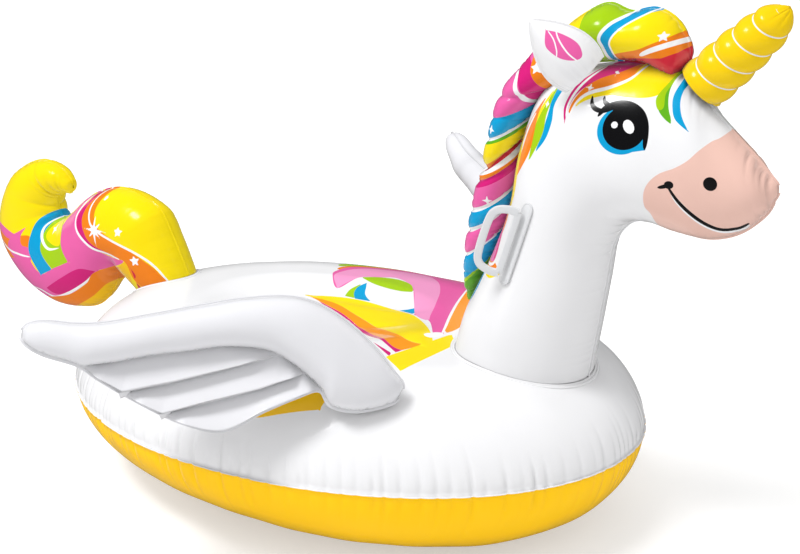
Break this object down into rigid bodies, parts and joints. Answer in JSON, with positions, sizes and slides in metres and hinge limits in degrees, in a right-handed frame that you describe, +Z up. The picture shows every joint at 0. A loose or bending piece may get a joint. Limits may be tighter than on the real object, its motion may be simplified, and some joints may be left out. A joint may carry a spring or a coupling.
{
  "type": "inflatable pool float",
  "caption": "Ride-on inflatable unicorn float: an oval air body with a saddle seat, a neck and head with horn, ears and mane, a curled tail, two wings, two grab handles and soft air valves.",
  "frame": {"origin": "on the flat underside, at the widest place of the body plan, in the middle plane", "axes": "+X towards the nose, +Y towards the left wing, +Z up out of the water"},
  "size_m": [2.0029, 1.4187, 1.0405],
  "materials": {
    "white_vinyl": "smooth semi-gloss",
    "printed_deck_vinyl": "white, glossy, printed saddle",
    "yellow_vinyl": "glossy",
    "printed_head_vinyl": "white, satin gloss, printed face",
    "printed_mane_vinyl": "glossy rainbow print",
    "printed_tail_vinyl": "glossy rainbow print",
    "horn_vinyl": "glossy, thin white spiral print",
    "ear_vinyl": "satin, pink inner print",
    "wing_vinyl": "satin gloss",
    "handle_vinyl": "milky, glossy",
    "valve_vinyl": "milky, soft"
  },
  "bodies": {
    "root": {"body_top_sheet": "printed_deck_vinyl", "body_bottom_sheet": "yellow_vinyl", "seat_web_1": "white_vinyl", "seat_web_2": "white_vinyl", "seat_web_3": "white_vinyl", "head_left_panel": "printed_head_vinyl", "head_right_panel": "printed_head_vinyl", "mane_left_panel": "printed_mane_vinyl", "mane_right_panel": "printed_mane_vinyl", "forelock_left_panel": "printed_mane_vinyl", "forelock_right_panel": "printed_mane_vinyl", "tail_left_panel": "printed_tail_vinyl", "tail_right_panel": "printed_tail_vinyl", "neck_weld_collar": "white_vinyl", "tail_weld_collar": "white_vinyl", "horn": "horn_vinyl", "ear_left_front_panel": "ear_vinyl", "ear_left_back_panel": "ear_vinyl", "handle_left_plate": "handle_vinyl", "ear_right_front_panel": "ear_vinyl", "ear_right_back_panel": "ear_vinyl", "handle_right_plate": "handle_vinyl", "head_valve_flange": "valve_vinyl", "tail_valve_flange": "valve_vinyl", "main_valve_seat": "valve_vinyl"},
    "wing_right": {"wing_right_front_sheet": "wing_vinyl", "wing_right_back_sheet": "wing_vinyl", "wing_right_valve_flange": "valve_vinyl"},
    "handle_right": {"handle_right_loop": "handle_vinyl"},
    "wing_left": {"wing_left_front_sheet": "wing_vinyl", "wing_left_back_sheet": "wing_vinyl", "wing_left_valve_flange": "valve_vinyl"},
    "handle_left": {"handle_left_loop": "handle_vinyl"},
    "head_valve_stem": {"head_valve_stem": "valve_vinyl"},
    "head_valve_plug": {"head_valve_plug": "valve_vinyl"},
    "tail_valve_stem": {"tail_valve_stem": "valve_vinyl"},
    "tail_valve_plug": {"tail_valve_plug": "valve_vinyl"},
    "wing_right_valve_stem": {"wing_right_valve_stem": "valve_vinyl"},
    "wing_right_valve_plug": {"wing_right_valve_plug": "valve_vinyl"},
    "wing_left_valve_stem": {"wing_left_valve_stem": "valve_vinyl"},
    "wing_left_valve_plug": {"wing_left_valve_plug": "valve_vinyl"},
    "main_valve_cap": {"main_valve_cap": "valve_vinyl"},
    "main_valve_flap": {"main_valve_flap": "valve_vinyl"}
  },
  "joints": [
    {"name": "wing_right_flap", "type": "hinge", "parent": "root", "child": "wing_right", "pos_m": [0.346, -0.34, 0.346], "axis": [-0.5948, 0.8039, 0], "range_deg": [-4, 24]},
    {"name": "handle_right_swing", "type": "hinge", "parent": "root", "child": "handle_right", "pos_m": [0.4898, -0.12585, 0.60496], "axis": [-0.2681, -0.0859, -0.9596], "range_deg": [-80, 35]},
    {"name": "wing_left_flap", "type": "hinge", "parent": "root", "child": "wing_left", "pos_m": [0.346, 0.34, 0.346], "axis": [0.5948, 0.8039, 0], "range_deg": [-17, 11]},
    {"name": "handle_left_swing", "type": "hinge", "parent": "root", "child": "handle_left", "pos_m": [0.4898, 0.12585, 0.60496], "axis": [0.2681, -0.0859, 0.9596], "range_deg": [-80, 35]},
    {"name": "head_valve_push", "type": "slide", "parent": "root", "child": "head_valve_stem", "axis": [-0.364, 0.9101, 0.198], "range_m": [-0.012, 0]},
    {"name": "head_valve_open", "type": "hinge", "parent": "head_valve_stem", "child": "head_valve_plug", "pos_m": [0.43087, 0.1467, 0.44264], "axis": [0.2766, 0.3086, -0.9101], "range_deg": [0, 110]},
    {"name": "tail_valve_push", "type": "slide", "parent": "root", "child": "tail_valve_stem", "axis": [0.0343, 0.9989, -0.0313], "range_m": [-0.012, 0]},
    {"name": "tail_valve_open", "type": "hinge", "parent": "tail_valve_stem", "child": "tail_valve_plug", "pos_m": [-0.57779, 0.10065, 0.43839], "axis": [-0.0354, -0.0301, -0.9989], "range_deg": [0, 110]},
    {"name": "wing_right_valve_push", "type": "slide", "parent": "wing_right", "child": "wing_right_valve_stem", "axis": [-0.3604, 0.923, 0.135], "range_m": [-0.012, 0]},
    {"name": "wing_right_valve_open", "type": "hinge", "parent": "wing_right_valve_stem", "child": "wing_right_valve_plug", "pos_m": [0.21263, -0.32306, 0.46625], "axis": [0.2652, -0.0373, 0.9635], "range_deg": [0, 110]},
    {"name": "wing_left_valve_push", "type": "slide", "parent": "wing_left", "child": "wing_left_valve_stem", "axis": [-0.3414, -0.9371, 0.0732], "range_m": [-0.012, 0]},
    {"name": "wing_left_valve_open", "type": "hinge", "parent": "wing_left_valve_stem", "child": "wing_left_valve_plug", "pos_m": [0.23637, 0.30549, 0.48502], "axis": [-0.4355, 0.0887, -0.8958], "range_deg": [0, 110]},
    {"name": "main_valve_open", "type": "hinge", "parent": "root", "child": "main_valve_cap", "pos_m": [-0.30488, 0.4031, 0.29396], "axis": [0.1459, 0.6993, -0.6998], "range_deg": [0, 110]},
    {"name": "main_valve_flap_swing", "type": "hinge", "parent": "root", "child": "main_valve_flap", "pos_m": [-0.30747, 0.38989, 0.28022], "axis": [-0.1459, -0.6993, 0.6998], "range_deg": [0, 45]}
  ]
}
